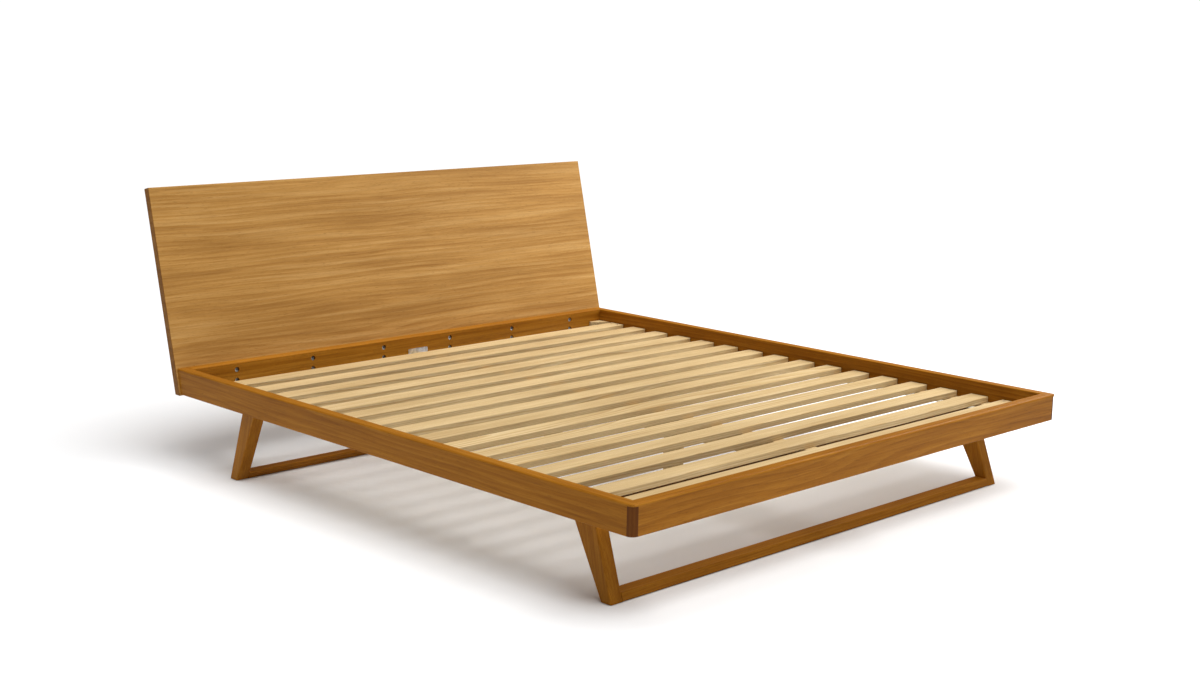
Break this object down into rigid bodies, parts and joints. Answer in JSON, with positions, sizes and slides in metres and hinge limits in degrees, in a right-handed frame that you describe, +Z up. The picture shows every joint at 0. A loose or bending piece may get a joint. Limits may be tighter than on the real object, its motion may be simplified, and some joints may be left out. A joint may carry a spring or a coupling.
{
  "type": "wooden bed frame",
  "caption": "Low wooden platform bed frame with a reclined panel headboard, slatted deck and splayed trapezoid leg frames.",
  "frame": {"origin": "on the floor, at the centre of the overall box", "axes": "+Z up, +Y along the bed's length towards the headboard, +X across the bed, to the right seen from the foot end"},
  "size_m": [2.032, 2.3619, 0.9376],
  "materials": {
    "oiled_wood": "satin oil over straight honey-coloured grain",
    "dark_wood": "satin oil over darker end strips",
    "pale_wood": "planed and left bare",
    "webbing": "plain woven cotton tape",
    "felt": "pressed wool felt",
    "zinc_steel": "bright zinc plate",
    "black_steel": "black oxide",
    "brass": "turned",
    "nylon": "moulded, fine grain"
  },
  "bodies": {
    "frame": {"headboard_panel": "oiled_wood", "head_rail": "oiled_wood", "foot_rail": "oiled_wood", "side_rail_left": "oiled_wood", "side_rail_right": "oiled_wood", "foot_leg_left": "oiled_wood", "foot_leg_right": "oiled_wood", "foot_floor_bar": "oiled_wood", "foot_top_bar": "oiled_wood", "head_leg_left": "oiled_wood", "head_leg_right": "oiled_wood", "head_floor_bar": "oiled_wood", "head_top_bar": "oiled_wood", "corner_bead_left": "dark_wood", "corner_bead_right": "dark_wood", "ledger_left": "pale_wood", "ledger_right": "pale_wood", "centre_beam": "pale_wood", "centre_leg_foot": "pale_wood", "centre_leg_head": "pale_wood", "corner_block_foot_left": "pale_wood", "corner_block_foot_right": "pale_wood", "corner_block_head_left": "pale_wood", "corner_block_head_right": "pale_wood", "slat_01": "pale_wood", "slat_02": "pale_wood", "slat_03": "pale_wood", "slat_04": "pale_wood", "slat_05": "pale_wood", "slat_06": "pale_wood", "slat_07": "pale_wood", "slat_08": "pale_wood", "slat_09": "pale_wood", "slat_10": "pale_wood", "slat_11": "pale_wood", "slat_12": "pale_wood", "slat_13": "pale_wood", "slat_14": "pale_wood", "slat_15": "pale_wood", "slat_16": "pale_wood", "slat_tape_left": "webbing", "slat_tape_right": "webbing", "leg_felt_pads": "felt", "bar_felt_pads": "felt", "beam_hanger_foot": "zinc_steel", "beam_hanger_head": "zinc_steel", "ledger_screws": "zinc_steel", "short_screws": "zinc_steel", "hanger_screws": "zinc_steel", "centre_leg_bolts": "zinc_steel", "leveller_sockets": "zinc_steel", "headboard_bolts": "black_steel", "foot_frame_bolts": "black_steel", "head_frame_bolts": "black_steel", "headboard_inserts": "brass"},
    "leveller_foot": {"leveller_pad_foot": "nylon", "leveller_stem_foot": "zinc_steel"},
    "leveller_head": {"leveller_pad_head": "nylon", "leveller_stem_head": "zinc_steel"}
  },
  "joints": [
    {"name": "leveller_foot_screw", "type": "slide", "parent": "frame", "child": "leveller_foot", "axis": [0, 0, 1], "range_m": [-0.008, 0.0095]},
    {"name": "leveller_head_screw", "type": "slide", "parent": "frame", "child": "leveller_head", "axis": [0, 0, 1], "range_m": [-0.008, 0.0095]}
  ]
}
